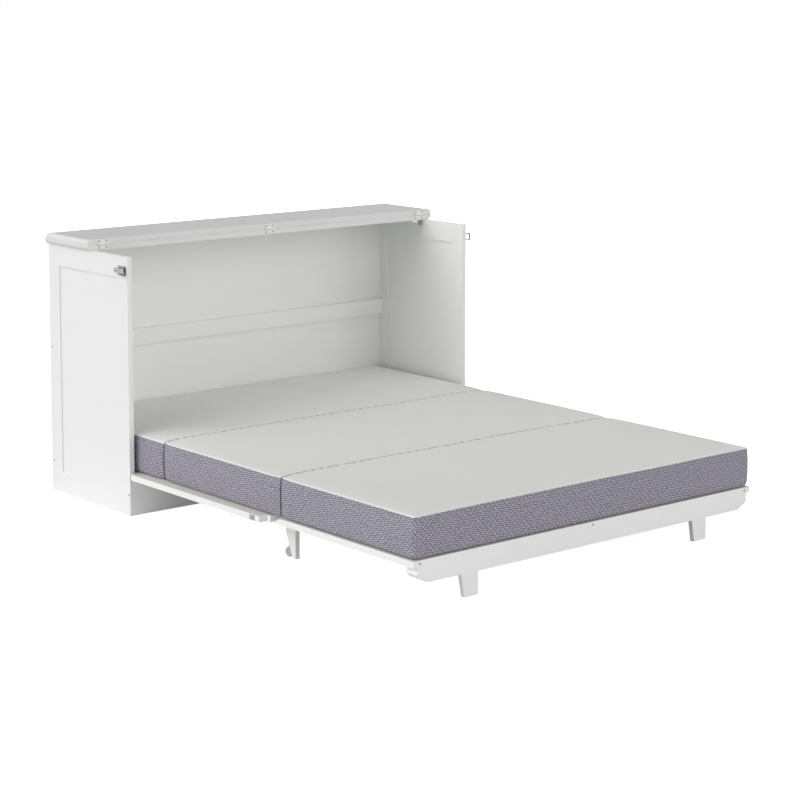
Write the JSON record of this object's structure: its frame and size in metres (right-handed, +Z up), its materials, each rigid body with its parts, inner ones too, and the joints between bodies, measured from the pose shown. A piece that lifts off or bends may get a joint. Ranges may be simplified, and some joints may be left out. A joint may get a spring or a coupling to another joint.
{
  "type": "cabinet bed",
  "caption": "Folding cabinet bed: a shaker chest whose front folds down as a platform, with a fold-out foot section, legs, a folded-back lid and a foam mattress in sections",
  "frame": {"origin": "on the floor, in the middle of the opened bed's bounding box", "axes": "+X to the left side when lying on the back, that is to the right of someone at the foot who faces the cabinet; +Y from the foot to the cabinet; +Z up"},
  "size_m": [1.628, 2.054, 0.9724],
  "materials": {
    "white_paint": "satin white lacquer on wood",
    "deck_tan": "unpainted greyish plywood",
    "hidden_wood": "unpainted pine",
    "steel": "bright zinc plate",
    "cap_plastic": "matt white plastic",
    "wheel_rubber": "matt grey rubber",
    "foam_cover": "knitted cover, top panel"
  },
  "bodies": {
    "cabinet": {"left_side_frame": "white_paint", "right_side_frame": "white_paint", "left_side_field": "white_paint", "right_side_field": "white_paint", "back_panel": "white_paint", "back_cross_rail": "white_paint", "kickboard": "white_paint", "head_deck": "deck_tan", "deck_cleats": "hidden_wood", "deck_bearers": "hidden_wood", "rear_lid": "white_paint", "lid_hinge_rear_leaves": "steel", "lid_stop": "cap_plastic", "lid_brackets": "steel", "front_hinge_cabinet_leaves": "steel", "side_bolts": "cap_plastic", "latch_base_left": "steel", "latch_base_right": "steel"},
    "lid_front": {"front_lid": "white_paint", "lid_hinge_front_leaves": "steel"},
    "platform_middle": {"front_frame": "white_paint", "front_fields": "white_paint", "middle_deck_boards": "deck_tan", "front_hinge_platform_leaves": "steel", "fold_hinge_middle_leaves": "steel", "latch_keepers": "steel", "deck_screws": "steel"},
    "platform_foot": {"foot_rail_left": "white_paint", "foot_rail_right": "white_paint", "foot_end_rail": "white_paint", "foot_hinge_beam": "white_paint", "foot_stringers": "hidden_wood", "foot_deck_boards": "deck_tan", "foot_apron": "white_paint", "apron_returns": "white_paint", "middle_leg_left": "white_paint", "middle_leg_right": "white_paint", "wheel_forks": "steel", "leg_hinge_fixed_leaves": "steel", "leg_blocks": "hidden_wood", "foot_bolts": "cap_plastic", "fold_hinge_foot_leaves": "steel"},
    "foot_leg_left": {"foot_leg_left": "white_paint", "leg_hinge_left_leaf": "steel"},
    "foot_leg_right": {"foot_leg_right": "white_paint", "leg_hinge_right_leaf": "steel"},
    "wheel_left": {"wheel_left": "wheel_rubber"},
    "wheel_right": {"wheel_right": "wheel_rubber"},
    "latch_lever_left": {"latch_lever_left": "steel"},
    "latch_lever_right": {"latch_lever_right": "steel"},
    "latch_bail_left": {"latch_bail_left": "steel"},
    "latch_bail_right": {"latch_bail_right": "steel"},
    "mattress_head": {"mattress_head": "foam_cover"},
    "mattress_middle": {"mattress_middle": "foam_cover"},
    "mattress_foot": {"mattress_foot": "foam_cover"}
  },
  "joints": [
    {"name": "front_fold", "type": "hinge", "parent": "cabinet", "child": "platform_middle", "pos_m": [0, 0.49045, 0.1498], "axis": [-1, 0, 0], "range_deg": [0, 90]},
    {"name": "foot_fold", "type": "hinge", "parent": "platform_middle", "child": "platform_foot", "pos_m": [0, -0.28045, 0.1563], "axis": [-1, 0, 0], "range_deg": [0, 180]},
    {"name": "lid_fold", "type": "hinge", "parent": "cabinet", "child": "lid_front", "pos_m": [0, 0.72655, 0.9517], "axis": [1, 0, 0], "range_deg": [0, 180]},
    {"name": "foot_leg_left_fold", "type": "hinge", "parent": "platform_foot", "child": "foot_leg_left", "pos_m": [-0.524, -0.99795, 0.1289], "axis": [1, 0, 0], "range_deg": [0, 90]},
    {"name": "foot_leg_right_fold", "type": "hinge", "parent": "platform_foot", "child": "foot_leg_right", "pos_m": [0.524, -0.99795, 0.1289], "axis": [1, 0, 0], "range_deg": [0, 90]},
    {"name": "wheel_left_spin", "type": "hinge", "parent": "platform_foot", "child": "wheel_left", "pos_m": [-0.683, -0.29145, 0.017], "axis": [1, 0, 0], "continuous": true},
    {"name": "wheel_right_spin", "type": "hinge", "parent": "platform_foot", "child": "wheel_right", "pos_m": [0.683, -0.29145, 0.017], "axis": [1, 0, 0], "continuous": true},
    {"name": "latch_lever_left_turn", "type": "hinge", "parent": "cabinet", "child": "latch_lever_left", "pos_m": [-0.8065, 0.51195, 0.882], "axis": [0, 0, 1], "range_deg": [0, 150]},
    {"name": "latch_bail_left_turn", "type": "hinge", "parent": "latch_lever_left", "child": "latch_bail_left", "pos_m": [-0.8105, 0.52395, 0.882], "axis": [0, 0, -1], "range_deg": [0, 150]},
    {"name": "latch_lever_right_turn", "type": "hinge", "parent": "cabinet", "child": "latch_lever_right", "pos_m": [0.8065, 0.51195, 0.882], "axis": [0, 0, -1], "range_deg": [0, 150]},
    {"name": "latch_bail_right_turn", "type": "hinge", "parent": "latch_lever_right", "child": "latch_bail_right", "pos_m": [0.8105, 0.52395, 0.882], "axis": [0, 0, 1], "range_deg": [0, 150]},
    {"name": "mattress_head_tilt", "type": "hinge", "parent": "cabinet", "child": "mattress_head", "pos_m": [0, 0.77425, 0.3857], "axis": [-1, 0, 0], "range_deg": [0, 90], "deforming": ["mattress_head"]},
    {"name": "mattress_middle_fold", "type": "hinge", "parent": "mattress_head", "child": "mattress_middle", "pos_m": [0, 0.33095, 0.3032], "axis": [-1, 0, 0], "range_deg": [0, 180], "deforming": ["mattress_middle"]},
    {"name": "mattress_foot_fold", "type": "hinge", "parent": "mattress_middle", "child": "mattress_foot", "pos_m": [0, -0.34445, 0.1532], "axis": [1, 0, 0], "range_deg": [0, 180], "deforming": ["mattress_foot"]}
  ],
  "couplings": [
    {"joint": "foot_leg_left_fold", "follows": "foot_fold", "ratio": 0.5},
    {"joint": "foot_leg_right_fold", "follows": "foot_fold", "ratio": 0.5},
    {"joint": "latch_bail_left_turn", "follows": "latch_lever_left_turn", "ratio": 1},
    {"joint": "latch_bail_right_turn", "follows": "latch_lever_right_turn", "ratio": 1},
    {"joint": "mattress_head_tilt", "follows": "front_fold", "ratio": 1},
    {"joint": "mattress_middle_fold", "follows": "foot_fold", "ratio": 1},
    {"joint": "mattress_foot_fold", "follows": "foot_fold", "ratio": 1}
  ]
}
